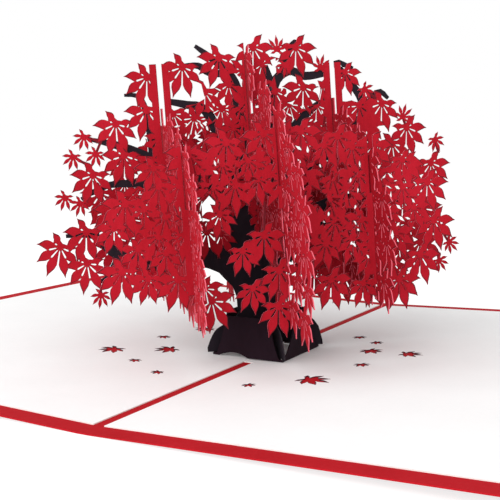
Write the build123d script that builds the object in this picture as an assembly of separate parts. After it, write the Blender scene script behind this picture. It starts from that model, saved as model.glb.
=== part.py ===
from build123d import *
import math
import os

# A pop up card that lies open: a red cover, a white liner and a paper maple tree over the fold.
# X runs across the open card, Y along the fold, Z up. The origin is under the middle of the spine.

# Card
page_width = 125.5          # one page, from its score to its outer edge
page_height = 178.0         # along the fold
page_tilt = 1.65            # degrees that each page rises from the spine
cover_thick = 0.35
liner_thick = 0.25
border = 5.6                # red left bare round the liner
spine_width = 3.0           # flat between the two scores, and the width of the liner's slots
bridge_front = -17.5        # the liner stays whole over the spine between these two
bridge_back = 22.0

# Tree, a lattice of sheets at 45 degrees to the fold
tree_x = -1.8               # middle of the trunk on the page
tree_y = -3.5
tree_lean = 3.6             # degrees, to the left in the plane of the wide sheets
pitch = 25.0                # between parallel sheets
leaf_thick = 0.3
trunk_thick = 0.3
slot_play = 0.45            # each side of a crossing pair
slot_rim = 2.2              # plain strip left beside a slot
foot_clear = 0.05           # under the feet of the trunk
speck = 4.5                 # openings of a smaller area are not cut
beyond = 120.0              # past either end of a sheet, for slots that run out of it
liner_cut = 5.0             # depth of the cuts through the liner, more than its folded height near them

# Heights at which two crossing sheets lap, by the distance of each from the middle of the lattice
lap_centre = 45.0
lap_wide_sheet = 60.0       # the wide middle sheet with the outer cross sheets
lap_cross_sheet = 50.0      # the middle cross sheet with the outer wide sheets
lap_corner = 46.0

# Root box, four walls round the trunk
box_half_x = 11.15
box_half_y = 11.5
box_thick = 0.3
box_height = 11.5
corner_web = 0.6            # height of the strip that joins two walls at a corner
crown_from_x = 3.95         # from a corner to the flat top of the front and back walls
crown_from_y = 7.9          # and to that of the side walls
flank_bow = 0.35            # share of a flank's run that is left at half its height
foot_arch = 1.2             # rise of the front and back walls off the page beside their left corner
foot_arch_start = 0.8       # from the foot of their left flank, inwards

# Trunk
foot_across = 12.5          # middle of the trunk to where a root leaves the page
foot_width = 1.5
root_reach = 17.3
root_tip = 1.3              # height of a root's blunt end
root_arch = 6.0             # the trunk's edge between its roots
root_arch_height = 3.2
fork_a = 54.0               # inside of the fork, in the wide sheet
fork_b = 58.0               # and in the crossing sheet

# Leaf: one lobe is its direction in degrees, its length and its half width
leaf_lobes = (
    (172, 4.8, 0.75),
    (214, 6.9, 1.05),
    (248, 8.6, 1.25),
    (282, 8.8, 1.25),
    (315, 7.5, 1.25),
    (355, 6.4, 1.1),
    (411, 4.6, 0.85),
)
lobe_belly = 0.6            # share of a lobe's length at which it is widest
lobe_plain = 1.2            # a lobe with a smaller half width is a plain point
lobe_notch = 3.6            # how far from the stalk neighbouring lobes part
small_notch = 2.2           # the same on small leaves, before they are sized
stalk_notch = 1.3           # and at the bare gap round the stalk
stalk_gap = 60.0            # degrees, narrower than that gap and wider than the others
large = 1.0
medium = 0.8
small = 0.45
swing = 10.0                # degrees that most leaves left of the trunk are turned
stalk_width = 0.7


def polar(angle, radius):
    return radius * math.cos(math.radians(angle)), radius * math.sin(math.radians(angle))


def lobe_point(angle, along, aside):
    c, s = polar(angle, 1.0)
    return along * c - aside * s, along * s + aside * c


def leaf(across, up, size, turn=0.0, side=1):
    """A seven lobed leaf hanging from its stalk. Side -1 is the mirror image."""
    points = []
    last_angle = leaf_lobes[-1][0] - 360
    notch = lobe_notch if size > small else small_notch
    for angle, length, half_width in leaf_lobes:
        gap = angle - last_angle
        points.append(polar(angle - gap / 2, notch if gap < stalk_gap else stalk_notch))
        bellied = size > medium and half_width > lobe_plain
        if bellied:
            points.append(lobe_point(angle, length * lobe_belly, -half_width))
        points.append(lobe_point(angle, length, 0.0))
        if bellied:
            points.append(lobe_point(angle, length * lobe_belly, half_width))
        last_angle = angle
    if side < 0:
        points = [(-x, y) for x, y in reversed(points)]
    return Pos(across, up) * Rot(0, 0, turn) * outline([(size * x, size * y) for x, y in points])


def leaves(rows):
    """A row is across, up, size and turn. Leaves left of the trunk are mirrored, if no side is given."""
    made = []
    for across, up, size, turn, *given in rows:
        side = given[0] if given else math.copysign(1, across)
        made.append(leaf(across, up, size, turn * side, side))
    return made


def stalks(lines):
    return [limb(*[(across, up, stalk_width) for across, up in line]) for line in lines]


def mirrored(rows):
    return [(-across, up, size, turn) for across, up, size, turn in rows]


def outline(points):
    return make_face(Polyline(*points, close=True))


def limb(*stations):
    """A branch through stations of across, up and width."""
    left = []
    right = []
    for k, (x, y, width) in enumerate(stations):
        before = stations[max(k - 1, 0)]
        after = stations[min(k + 1, len(stations) - 1)]
        run = math.atan2(after[1] - before[1], after[0] - before[0])
        left.append((x - width / 2 * math.sin(run), y + width / 2 * math.cos(run)))
        right.append((x + width / 2 * math.sin(run), y - width / 2 * math.cos(run)))
    return outline(left + right[::-1])


def rect(x0, x1, y0, y1):
    return Pos((x0 + x1) / 2, (y0 + y1) / 2) * Rectangle(x1 - x0, y1 - y0)


def whole(shape):
    """One flat face without specks."""
    faces = []
    for face in shape.faces():
        holes = [wire for wire in face.inner_wires() if Face(wire).area > speck]
        faces.append(Face(face.outer_wire(), holes))
    return Sketch(faces)


def lap_height(wide_step, cross_step):
    if wide_step == 0 and cross_step == 0:
        return lap_centre
    if wide_step == 0:
        return lap_wide_sheet
    if cross_step == 0:
        return lap_cross_sheet
    return lap_corner


half_slot = (leaf_thick + trunk_thick) / 2 + slot_play
steps = (-1, 0, 1)


def wide_slots(wide_step):
    """Slots of a sheet across the view, open upwards."""
    return [
        rect(step * pitch - half_slot, step * pitch + half_slot, lap_height(wide_step, step), beyond)
        for step in steps
    ]


def cross_slots(cross_step):
    """Slots of a crossing sheet, open downwards."""
    return [
        rect(step * pitch - half_slot, step * pitch + half_slot, -beyond, lap_height(step, cross_step))
        for step in steps
    ]


def rims(heights):
    """Plain strips along the slots, each from its foot to its head."""
    half = half_slot + slot_rim
    made = []
    for step, (low, high) in zip(steps, heights):
        made.append(rect(step * pitch - half, step * pitch + half, low, high))
    return made


# Places in the tree. The wide sheets run along (1, 1) in plan and face the front right.
lean = math.radians(tree_lean)
diagonal = math.sqrt(0.5)
along_wide = Vector(diagonal * math.cos(lean), diagonal * math.cos(lean), math.sin(lean))
along_cross = Vector(diagonal, -diagonal, 0)
tree_foot = Vector(tree_x, tree_y, 0)


def wide_plane(step):
    return Plane(origin=tree_foot + along_cross * (step * pitch), x_dir=along_wide, z_dir=along_cross)


def cross_plane(step):
    return Plane(origin=tree_foot + along_wide * (step * pitch), x_dir=along_cross, z_dir=along_wide * -1)


def leaf_sheet(plane, shape):
    return extrude(plane * whole(shape), amount=leaf_thick, dir=plane.z_dir)


def trunk_sheet(plane, shape):
    return extrude(plane * whole(shape), amount=trunk_thick, dir=plane.z_dir * -1)


def page_top(x):
    rise = math.tan(math.radians(page_tilt)) * max(abs(x) - spine_width / 2, 0)
    return cover_thick + liner_thick + rise


# Card
def folded(half_width, low, thick, length):
    """Two tilted pages and a flat spine, centred on the fold, at a height over the cover's back."""
    tilt = math.radians(page_tilt)
    reach = half_width - spine_width / 2
    right = []
    for height in (low, low + thick):
        score = (spine_width / 2 - height * math.tan(tilt / 2), height)
        edge = (
            spine_width / 2 + reach * math.cos(tilt) - height * math.sin(tilt),
            reach * math.sin(tilt) + height * math.cos(tilt),
        )
        right += [score, edge] if height == low else [edge, score]
    left = [(-x, z) for x, z in reversed(right)]
    profile = Plane.XZ * outline(right + left)
    return Pos(0, length / 2, 0) * extrude(profile, amount=length)


def make_cover():
    return folded(spine_width / 2 + page_width, 0.0, cover_thick, page_height)


# Fallen leaves: X, Y, size, turn
fallen = (
    (-40.5, -24.7, 0.95, 10),
    (-27.7, -32.4, 0.5, 40),
    (-15.0, -39.4, 0.5, 15),
    (-26.6, -16.2, 0.95, -15),
    (-37.8, -4.0, 0.4, 60),
    (-32.9, 13.1, 0.8, 20),
    (12.5, -39.7, 0.5, 35),
    (23.9, -29.0, 1.1, 65),
    (30.0, -8.6, 0.6, 20),
    (25.4, 8.7, 0.95, 30),
    (36.5, 7.9, 0.95, 75),
    (15.0, 25.8, 0.5, 10),
    (22.5, 19.7, 0.5, 50),
)


def make_liner():
    sheet = folded(spine_width / 2 + page_width - border, cover_thick, liner_thick, page_height - 2 * border)
    end = page_height / 2
    slots = rect(-spine_width / 2, spine_width / 2, -end, bridge_front)
    slots += rect(-spine_width / 2, spine_width / 2, bridge_back, end)
    cuts = extrude(slots, amount=liner_cut)
    for x, y, size, turn in fallen:
        cuts += extrude(leaf(x, y, size, turn, -1 if x < 0 else 1), amount=liner_cut)
    return sheet - cuts


# Root box
box_foot = page_top(abs(tree_x) + box_half_x)
web_top = box_foot + corner_web
off_corner = abs(box_half_y - box_half_x)     # how far a root passes beside its corner
root_notch = box_thick + (trunk_thick + 2 * foot_clear) / diagonal + off_corner


def wall_shape(half, crown, arch):
    """A wall between two corners: a mound, low at each corner where a root of the trunk passes over."""
    notch = half - root_notch
    shoulder = crown + (notch - crown) * flank_bow
    middle = box_height / 2
    left_corner = [(-notch, corner_web), (-half, corner_web), (-half, 0)]
    right_corner = [(half, 0), (half, corner_web), (notch, corner_web)]
    ring = [
        Polyline(*left_corner, *right_corner),
        ThreePointArc((notch, corner_web), (shoulder, middle), (crown, box_height)),
        Line((crown, box_height), (-crown, box_height)),
        ThreePointArc((-crown, box_height), (-shoulder, middle), (-notch, corner_web)),
    ]
    shape = make_face(ring)
    if arch:
        start = foot_arch_start - notch
        shape -= make_face([ThreePointArc((start, 0), (start / 2, arch), (0, 0)), Line((0, 0), (start, 0))])
    return shape


def make_root_box():
    inset = box_thick / 2
    sheets = []
    for sign in (-1, 1):
        wide = Plane(
            origin=(tree_x, tree_y + sign * (box_half_y - inset), box_foot),
            x_dir=(1, 0, 0),
            z_dir=(0, -1, 0),
        )
        front = wall_shape(box_half_x, box_half_x - crown_from_x, foot_arch)
        sheets.append(extrude(wide * front, amount=inset, both=True))
        deep = Plane(
            origin=(tree_x + sign * (box_half_x - inset), tree_y, box_foot),
            x_dir=(0, 1, 0),
            z_dir=(1, 0, 0),
        )
        flank = wall_shape(box_half_y, box_half_y - crown_from_y, 0)
        sheets.append(extrude(deep * flank, amount=inset, both=True))
    return sheets[0] + sheets[1:]


# Trunk and branches: across, up and width along each branch
wide_limbs = (
    ((-8, 27, 8), (-17, 29.5, 4.5), (-27, 28.5, 3.2),
     (-36, 31, 3), (-42, 34.5, 3), (-46.5, 39, 2), (-54, 39.6, 1)),
    ((-40, 33, 2), (-44, 27, 1.4), (-47, 26.4, 1)),
    ((-46, 38.5, 1.6), (-44.5, 43.8, 1)),
    ((-1, 30, 8), (-5, 41, 6), (-11, 47.5, 4.5),
     (-18, 54, 3.6), (-28, 58, 3.2), (-37, 62.5, 2.4), (-45, 65, 1)),
    ((-12, 48, 3), (-20, 51, 2.4), (-30, 51.8, 2.4), (-41, 52.4, 1.8), (-49, 49.2, 1)),
    ((-28.5, 57.5, 2.4), (-28.8, 66, 2), (-30.5, 75, 1.5), (-35, 76.2, 0.8)),
    ((-7, 50, 4), (-9, 62, 3.4), (-13, 70.9, 2.6), (-18, 72.6, 2.2), (-23, 73.8, 1.6)),
    ((-4, 46, 4), (-3.5, 62, 3.6), (-3.2, 74, 3.2), (-5.6, 80.6, 2.6), (-11, 85.6, 1.8), (-14.5, 88.4, 1)),
    ((-6, 80.4, 2), (-11, 81, 2), (-14, 83, 1.8), (-19, 83.2, 1)),
    ((3, 46, 4), (4.5, 60, 3.4), (7.2, 76, 3), (12, 80.2, 2.4), (16.8, 78.6, 2.4), (22.8, 79.1, 2)),
    ((7, 76, 2.4), (5, 82, 2)),
    ((9, 78, 2), (13.6, 87.6, 1.6), (16, 87.4, 1)),
    ((4, 52, 3.4), (13, 64.7, 2.8), (18, 69, 2.2), (22.4, 71.8, 1.2)),
    ((2, 36, 8), (9, 47, 4.6), (17, 54, 3.6), (25, 57.4, 3.2), (32, 64, 3), (38.5, 72.6, 2), (42, 70.8, 1)),
    ((33, 65, 2.4), (33.6, 71, 2.4), (30, 76.6, 2), (26.4, 81.8, 2), (31.5, 80, 1)),
    ((6, 28, 8), (13, 37, 4.6), (21.5, 41.6, 3.6), (32, 42.6, 2.8), (42, 40.6, 2), (50, 43, 1)),
    ((31, 42.6, 2.4), (40, 50, 2), (49, 53, 1)),
    ((14, 37.6, 3), (25, 33, 2.4), (37, 30.4, 1.8), (46, 26, 1)),
)
cross_limbs = (
    ((0, 34, 9), (8, 43, 5), (16, 50, 4), (25, 55.4, 3.4), (31, 57.2, 2.4), (37, 60, 1)),
    ((27, 55.6, 2.4), (33, 50.4, 2), (38, 43, 1.6), (42, 41, 1)),
    ((2, 42, 5), (5, 56, 4), (9, 66, 3), (15, 73, 1.8), (21, 75, 0.9)),
    ((5, 55, 3), (15, 59, 2.6), (22, 65, 1.6), (28, 66, 0.9)),
)


# Outline of a root from over its blunt end up to the fork
root_profile = (
    (16.4, 6.0), (14.2, 9.0), (9.6, 11.0), (6.9, 14.0), (6.0, 20.0), (8.4, 28.0), (9.0, 36.0), (5.0, 50.0),
)


def height_in(along, across, z):
    """Height within a sheet that runs along a direction, of a point at z over the table."""
    return (z - across * along.Z) / math.cos(lean)


def trunk_half(sign, along):
    foot = sign * foot_across
    inside = sign * (foot_across + foot_width)
    tip = sign * root_reach
    over_page = page_top(tree_x + diagonal * foot) + foot_clear
    over_web = web_top + foot_clear
    points = [
        (foot, height_in(along, foot, over_page)),
        (inside, height_in(along, inside, over_web)),
        (tip, height_in(along, tip, over_web)),
        (tip, height_in(along, tip, web_top + root_tip)),
    ]
    return points + [(sign * across, up) for across, up in root_profile]


def trunk(along, fork):
    left = trunk_half(-1, along)
    right = trunk_half(1, along)
    arch = [(root_arch, root_arch_height), (-root_arch, root_arch_height)]
    return outline(left + [(0, fork)] + right[::-1] + arch)


def make_trunk_a():
    shape = trunk(along_wide, fork_a) + [limb(*stations) for stations in wide_limbs]
    return trunk_sheet(wide_plane(0), shape - wide_slots(0))


def make_trunk_b():
    far_limbs = [[(-across, up, width) for across, up, width in stations] for stations in cross_limbs]
    shape = trunk(along_cross, fork_b) + [limb(*stations) for stations in cross_limbs + tuple(far_limbs)]
    return trunk_sheet(cross_plane(0), shape - cross_slots(0))


# Leaf sheets: the solid middle of each crown, the leaves round it as across, up, size and turn, and
# the stalks that tie leaves to their neighbours
wide_mid_body = (
    (-44, 38), (-41, 48), (-35, 60), (-28, 70), (-16, 76), (0, 81), (16, 79), (29, 73), (38, 64),
    (44, 54), (47, 38), (45, 22), (38, 20), (20, 22), (14, 27), (9, 35), (0, 39), (-10, 41), (-18, 36),
    (-22, 28), (-34, 29), (-38, 36),
)
wide_mid_leaves = (
    (-28.5, 80.6, large, swing), (-18.5, 82.8, large, swing), (-8, 84.8, large, swing),
    (2, 87.2, large, 0), (9, 86.2, small, 165, -1), (11, 82.2, small, -20), (14.5, 86.6, large, 0),
    (21.5, 80.5, small, 150), (29, 79, medium, 0), (34.5, 74, small, 20),
    (39.8, 69.4, large, swing, -1), (46.2, 65, small, 150), (47.3, 62, large, 0),
    (56.2, 58, small, 10), (54.6, 51, large, 0), (51.5, 37.6, large, 10), (56.4, 31.4, small, 30),
    (59.4, 26.8, small, 30), (50, 27.5, large, 14), (55.8, 21.6, small, 20), (43, 17.5, large, 0),
    (34, 18, large, 5), (25, 20, large, -5), (16, 22, large, 0),
    (-15, 37, large, 0), (-29.3, 71.8, large, 5), (-38, 68.6, large, 5), (-46.8, 66, small, swing),
    (-50.1, 60.9, small, swing), (-44, 61.2, small, swing), (-45.3, 55.4, large, swing),
    (-53.2, 50.2, small, swing), (-49.3, 48.3, small, swing), (-48.5, 40.2, large, swing),
    (-55.8, 36.8, large, 18), (-49, 31.6, large, 0), (-46, 22.7, small, 0), (-37.6, 29.4, large, 0),
    (-30.5, 26.4, medium, swing), (-24.5, 24.5, large, swing), (16, 75.4, large, swing, -1),
    (42.5, 57.4, large, 0, -1), (46.5, 49.8, large, 0), (-36.5, 60, large, swing),
    (-39.6, 48, large, swing), (45, 41, large, 0),
)
wide_mid_stalks = (
    ((34.5, 74), (38.6, 70.6)), ((46.2, 65), (47, 62.5)), ((56.4, 31.4), (55.6, 28.2)),
    ((56.2, 57.5), (57.2, 54)), ((56.4, 31.4), (59.4, 26.8)), ((55.8, 21.6), (55.4, 24.8)),
    ((-46.8, 66), (-43, 64.4)), ((-44, 61.2), (-41.8, 65.4)), ((-50.1, 60.9), (-47.2, 58.7)),
    ((-48.5, 40.2), (-43.5, 40.4), (-40, 43)), ((-55.8, 36.8), (-51.9, 31.9), (-49, 31.6)),
    ((-49, 31.6), (-43.6, 29), (-37.6, 29.4)), ((-46, 22.7), (-46, 25)),
)
wide_side_body = (
    (-40, 34), (-41, 45), (-35, 53), (-24, 58), (-10, 62), (0, 64), (10, 62), (24, 57), (35, 52), (41, 44),
    (41, 36), (34, 26), (20, 24), (8, 34), (4, 43), (-8, 45), (-18, 48), (-24, 34), (-36, 34),
)
wide_side_leaves = (
    (-43, 32, large, swing), (-36.5, 29.5, medium, swing), (-29, 28.5, large, swing),
    (-44, 43, medium, swing), (-41, 51.5, large, swing), (-33, 57, medium, swing),
    (-24, 60, large, swing), (-14, 62, large, swing), (-4, 63.5, large, 0), (6, 63.5, large, 0),
    (16, 61.5, large, 0), (25.5, 58.5, large, 0), (34, 54, medium, 0), (41, 47.5, large, 0),
    (42.5, 37, large, 0), (38, 28, large, 0), (31.5, 22, large, 0), (21, 22, medium, 0),
    (12, 24, large, 0),
)
front_hanging_leaves = (
    (-20, 22, large, 0, 1), (-11.6, 34, medium, 0, 1), (-9.6, 24, medium, -10, 1),
    (-5.6, 37.5, large, 0, 1), (-2.2, 28, large, 0, 1), (-3, 18.5, large, 0, 1),
    (-17, 44, medium, 0, -1),
)
front_stalks = (
    ((-5.6, 37.5), (-5, 46)), ((-11.6, 34), (-9, 36.3), (-5.6, 37.5)), ((-2.2, 28), (-4, 31.5)),
    ((-9.6, 24), (-5.5, 26.4)), ((-3, 18.5), (-2.6, 22)), ((-20, 22), (-26, 26)), ((-17, 44), (-14.5, 49)),
)
cross_mid_body = (
    (-41, 30), (-39, 46), (-31, 60), (-20, 68), (-8, 78), (0, 82), (8, 78), (20, 68), (31, 60), (39, 46),
    (41, 30),
    (37, 20), (26, 22), (14, 27), (8, 38), (-8, 38), (-14, 27), (-26, 22), (-37, 20),
)
cross_mid_leaves = (
    (5, 80, large, 0), (15, 74, large, 0), (24, 67, large, 0), (33, 60, medium, 0), (39, 54, medium, 0),
    (41.5, 45, large, 0), (42, 34, large, 0), (41.5, 25, medium, 0), (37.5, 17.5, large, 0),
    (28, 19, large, 0),
    (17, 23, large, 0),
)
cross_side_body = (
    (-32, 30), (-30, 46), (-23, 55), (-11, 63), (0, 66), (11, 63), (23, 55), (30, 46), (32, 30),
    (28, 23), (0, 25),
    (-28, 23),
)
cross_side_leaves = (
    (5, 66, large, 0), (15, 61, large, 0), (25, 54.5, large, 0), (32, 45, large, 0), (33.5, 33.5, large, 0),
    (30.5, 23, large, 0), (19.5, 23.5, large, 0), (8, 25, large, 0),
)


# Feet and heads of the plain strips along the slots
wide_mid_rims = ((27, 84), (42, 86), (20, 82))
wide_side_rims = ((24, 62), (44, 68), (24, 61))
cross_mid_rims = ((16, 68), (38, 86), (16, 68))
cross_side_rims = ((17, 56), (20, 72), (17, 56))

# A gap in the foliage that lines up through the wide sheets
gap_outline = ((-2.1, -3.5), (1.4, -2.9), (2.2, 1.8), (0.4, 3.7), (-2.0, 1.4))
gap_front = (-20.0, 46.0)
gap_mid = (-14.0, 43.5)
gap_back = (-11.5, 43.0)

# Windows high in the wide middle sheet, into which leaves hang
wide_mid_windows = (
    ((-23.3, 79.0), (-23.4, 74.0), (-20.0, 72.3),
     (-15.4, 72.7), (-12.8, 74.0), (-13.5, 78.0), (-18.0, 80.5)),
    ((10.8, 78.0), (11.0, 71.4), (14.7, 69.7), (20.2, 70.5), (21.2, 74.5), (20.1, 78.4)),
)


def foliage_gap(place):
    return Pos(*place) * outline(gap_outline)


def make_wide_mid():
    shape = outline(wide_mid_body) - [outline(window) for window in wide_mid_windows]
    shape += leaves(wide_mid_leaves) + stalks(wide_mid_stalks)
    shape += rims(wide_mid_rims)
    return leaf_sheet(wide_plane(0), shape - wide_slots(0) - foliage_gap(gap_mid))


def make_wide_side(step, gap_place):
    shape = outline(wide_side_body) + leaves(wide_side_leaves)
    shape += rims(wide_side_rims)
    if step > 0:
        shape += leaves(front_hanging_leaves) + stalks(front_stalks)
    return leaf_sheet(wide_plane(step), shape - wide_slots(step) - foliage_gap(gap_place))


def make_cross(step, body, rows, rim_heights):
    shape = outline(body) + leaves(rows + tuple(mirrored(rows)))
    shape += rims(rim_heights)
    return leaf_sheet(cross_plane(step), shape - cross_slots(step))


def make_cross_mid():
    return make_cross(0, cross_mid_body, cross_mid_leaves, cross_mid_rims)


def make_cross_side(step):
    return make_cross(step, cross_side_body, cross_side_leaves, cross_side_rims)


nodes = {
    "cover": make_cover(),
    "liner": make_liner(),
    "root_box": make_root_box(),
    "trunk_a": make_trunk_a(),
    "trunk_b": make_trunk_b(),
    "leaves_a_front": make_wide_side(1, gap_front),
    "leaves_a_mid": make_wide_mid(),
    "leaves_a_back": make_wide_side(-1, gap_back),
    "leaves_b_left": make_cross_side(-1),
    "leaves_b_mid": make_cross_mid(),
    "leaves_b_right": make_cross_side(1),
}

os.makedirs("parts", exist_ok=True)
for name, solid in nodes.items():
    export_step(solid, f"parts/{name}.step")
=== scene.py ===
import math
import random

import bpy
from mathutils import Matrix, Vector
from mathutils.geometry import delaunay_2d_cdt


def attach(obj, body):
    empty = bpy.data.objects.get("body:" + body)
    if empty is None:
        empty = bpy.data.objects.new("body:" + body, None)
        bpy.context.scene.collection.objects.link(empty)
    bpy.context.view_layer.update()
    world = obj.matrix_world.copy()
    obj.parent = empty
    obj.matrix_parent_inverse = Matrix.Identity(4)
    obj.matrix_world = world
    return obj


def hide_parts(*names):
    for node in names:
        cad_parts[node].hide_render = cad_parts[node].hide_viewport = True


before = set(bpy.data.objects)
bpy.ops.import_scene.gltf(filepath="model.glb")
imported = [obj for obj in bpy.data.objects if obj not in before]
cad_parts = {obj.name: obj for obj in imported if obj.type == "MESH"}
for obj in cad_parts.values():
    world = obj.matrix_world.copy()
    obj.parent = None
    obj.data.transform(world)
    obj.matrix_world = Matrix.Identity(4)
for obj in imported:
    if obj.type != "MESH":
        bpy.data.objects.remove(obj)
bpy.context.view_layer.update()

# Sizes are in millimetres until a mesh is made, and the same as the part's own
MM = 0.001
TREE_FOOT = Vector((-1.8, -3.5, 0.0))
LEAN = math.radians(3.6)
PITCH = 25.0          # between parallel sheets
STEPS = (-1, 0, 1)    # places of parallel sheets, in pitches
PAPER = 0.3
TRUNK = 0.3
HALF_SLOT = 0.75
BEYOND = 120.0        # past the edge of every sheet
# Heights of the laps of the two middle sheets, of the wide and of the crossing middle sheet with the sheets
# beside the other, and of those with each other
LAPS = {"centre": 45.0, "wide": 60.0, "cross": 50.0, "corner": 46.0}

PAGE_TILT = math.radians(1.65)
COVER = 0.35
LINER = 0.25
SPINE = 1.5           # half the width of the flat spine

# Directions of the sheets
DIAGONAL = math.sqrt(0.5)
ALONG_WIDE = Vector((DIAGONAL * math.cos(LEAN), DIAGONAL * math.cos(LEAN), math.sin(LEAN)))
ALONG_CROSS = Vector((DIAGONAL, -DIAGONAL, 0.0))
UP = ALONG_CROSS.cross(ALONG_WIDE)

# The camera that the photograph fits
EYE = Vector((127.6, -241.97, 62.1))
EYE_AZIMUTH = math.radians(29.46)
EYE_ELEVATION = math.radians(6.7)
EYE_ROLL = math.radians(-0.46)
LENS = 68.6

RIM = 0.10            # darker line along every cut, partly burnt paper and partly painted shade
STALK = 0.7           # width of a stalk
LARGE = 1.0
MEDIUM = 0.8
SMALL = 0.45
FAR_GROW = 1.3        # gaps behind the front sheet are this much larger, so that they show
MIDDLE_STRIP = 0.4    # width of the plain strips beside a middle slot, as a share of the others
SWING = 10.0          # turn of most leaves left of the trunk
SMALL_RIM = 0.14      # darker line of small leaves, partly burnt and partly painted shade, before their size

# Large leaf: direction, length, half width and bow of each lobe, and how far out the notch before it lies
LOBES = (
    (172, 4.8, 0.78, -0.30, 1.2),
    (214, 6.9, 1.10, -0.25, 3.0),
    (248, 8.6, 1.30, -0.15, 3.9),
    (282, 8.8, 1.30, 0.15, 4.3),
    (315, 7.5, 1.30, 0.15, 4.2),
    (355, 6.4, 1.15, 0.40, 3.6),
    (411, 4.6, 0.90, 0.35, 2.2),
)
OPEN_SLIT = 3         # the slit before this lobe runs out into its notch

# Small leaf
STAR = (
    (172, 5.0, 0.80, -0.30, 1.2),
    (214, 7.0, 0.95, -0.20, 2.0),
    (248, 8.8, 1.05, -0.10, 2.3),
    (282, 9.2, 1.05, 0.10, 2.3),
    (315, 8.2, 1.05, 0.15, 2.3),
    (355, 6.8, 1.00, 0.30, 2.2),
    (411, 5.2, 0.85, 0.30, 1.8),
)

# Half width of a lobe, as a share of its widest, at shares of its length
PROFILE = ((0.34, 0.62), (0.46, 0.90), (0.58, 1.0), (0.69, 0.88), (0.79, 0.56), (0.88, 0.24), (0.95, 0.10))
INNER_PROFILE = ((0.42, 0.85), (0.60, 1.0), (0.82, 0.45))

# How far a notch and a tip move when an outline is pulled in, in times the pull, and what is left at least
NOTCH_PULL = 1.3
TIP_PULL = 4.5
LEAST_NOTCH = 0.2
NOTCH_CLEAR = 0.2
LOBE_GAP = 0.03
LEAST_HALF = 0.02

# Slits: start, end before or past the notch, shortest length, length of the tapered ends, narrowing
SLIT_START = 0.9
SLIT_BEFORE = 0.45
SLIT_PAST = 0.9
SHORTEST_SLIT = 0.6
SLIT_TAPER = 0.35
SLIT_NARROW = 0.6


def polar(angle, radius):
    return radius * math.cos(math.radians(angle)), radius * math.sin(math.radians(angle))


def lobe_point(angle, along, aside):
    c, s = polar(angle, 1.0)
    return along * c - aside * s, along * s + aside * c


def placed(points, across, up, size, turn, side):
    """Points of a leaf, sized, mirrored for side -1, turned and put on the sheet."""
    c, s = polar(turn * side, size)
    made = []
    for x, y in points:
        x = x * side
        made.append((across + x * c - y * s, up + x * s + y * c))
    return made if side > 0 else made[::-1]


def lobe_side(lobe, apart, notch, pull, profile, sign):
    """One edge of a lobe from its notch outwards, clear of the lobe that stands some degrees apart."""
    angle, length, half, bow, _ = lobe
    tip = length - pull * TIP_PULL
    points = []
    for share, width in profile:
        along = share * tip
        if along > notch + NOTCH_CLEAR:
            room = along * math.sin(math.radians(min(apart, 90) / 2)) - LOBE_GAP - pull
            aside = min(max(half * width - pull, LEAST_HALF), max(room, LEAST_HALF))
            points.append(lobe_point(angle, along, sign * aside + bow * math.sin(math.pi * share)))
    return points


def leaf_outline(lobes, pull, profile=PROFILE):
    """Outline round the stalk, pulled in by a distance."""
    points = []
    count = len(lobes)
    for k, lobe in enumerate(lobes):
        angle, length, _, _, notch = lobe
        following = lobes[(k + 1) % count]
        before = lobes[k - 1][0] - (360 if k == 0 else 0)
        after = following[0] + (360 if k == count - 1 else 0)
        points.append(polar((angle + before) / 2, max(notch - pull * NOTCH_PULL, LEAST_NOTCH)))
        points += lobe_side(lobe, angle - before, notch, pull, profile, -1)
        points.append(lobe_point(angle, length - pull * TIP_PULL, 0.0))
        points += lobe_side(lobe, after - angle, following[4], pull, profile, 1)[::-1]
    return points


def grown_slits(width, grow):
    """Slits between the lobes, from beside the stalk almost to the notches."""
    slits = []
    for k in range(1, len(LOBES)):
        middle = (LOBES[k][0] + LOBES[k - 1][0]) / 2
        notch = LOBES[k][4]
        near = SLIT_START - grow
        far = notch + SLIT_PAST if k == OPEN_SLIT else notch - SLIT_BEFORE
        if far - near < SHORTEST_SLIT:
            continue
        far += grow
        wide_near = width * SLIT_NARROW + grow
        wide_far = width + grow
        one_side = [(near + SLIT_TAPER, wide_near), (far - SLIT_TAPER, wide_far)]
        ends = [(near, 0.0)] + [(along, -aside) for along, aside in one_side] + [(far, 0.0)] + one_side[::-1]
        slits.append([lobe_point(middle, along, aside) for along, aside in ends])
    return slits


def leaf_slits(width):
    """The slits, and what they and their darker rims take up; a rim is partly burnt, partly painted shade."""
    return grown_slits(width, 0.0), grown_slits(width, RIM)


def leaf_shape(lobes, rim, profile=PROFILE):
    """The outline of a leaf, and what lies inside its darker rim, which is partly burnt and partly painted
    shade.
    """
    return leaf_outline(lobes, 0.0, profile), leaf_outline(lobes, rim, profile)


LEAF = leaf_shape(LOBES, RIM)
SMALL_LEAF = leaf_shape(STAR, SMALL_RIM)
INNER_LEAF = leaf_shape(LOBES, RIM, INNER_PROFILE)
WIDE_SLITS = leaf_slits(0.24)
FINE_SLITS = leaf_slits(0.19)
FRINGE_SLITS = leaf_slits(0.28)

# Limits for cut outlines
MITRE = 0.35          # a sharp corner moves at most 1 / MITRE times as far as its sides
TURNED_BACK = 1e-6    # sides that run back along each other
ONE_POINT = 1e-5      # points closer than this are one
NO_AREA = 1e-7        # twice the area below which a triangle is left out

# Material slots of a sheet's faces
WALL_BY_RIM = 2
WALL_BY_PLAIN = 3


def rect(x0, x1, y0, y1):
    return [(x0, y0), (x1, y0), (x1, y1), (x0, y1)]


def offset(points, distance):
    """A counter-clockwise outline moved inwards, or outwards by a negative distance."""
    made = []
    count = len(points)
    for k in range(count):
        a = Vector(points[k - 1])
        b = Vector(points[k])
        c = Vector(points[(k + 1) % count])
        one = (b - a).normalized()
        two = (c - b).normalized()
        inward = Vector((-one.y - two.y, one.x + two.x))
        if inward.length < TURNED_BACK:
            inward = Vector((-one.y, one.x))
        inward.normalize()
        share = max(inward.dot(Vector((-one.y, one.x))), MITRE)
        made.append(tuple(b + inward * (distance / share)))
    return made


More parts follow.
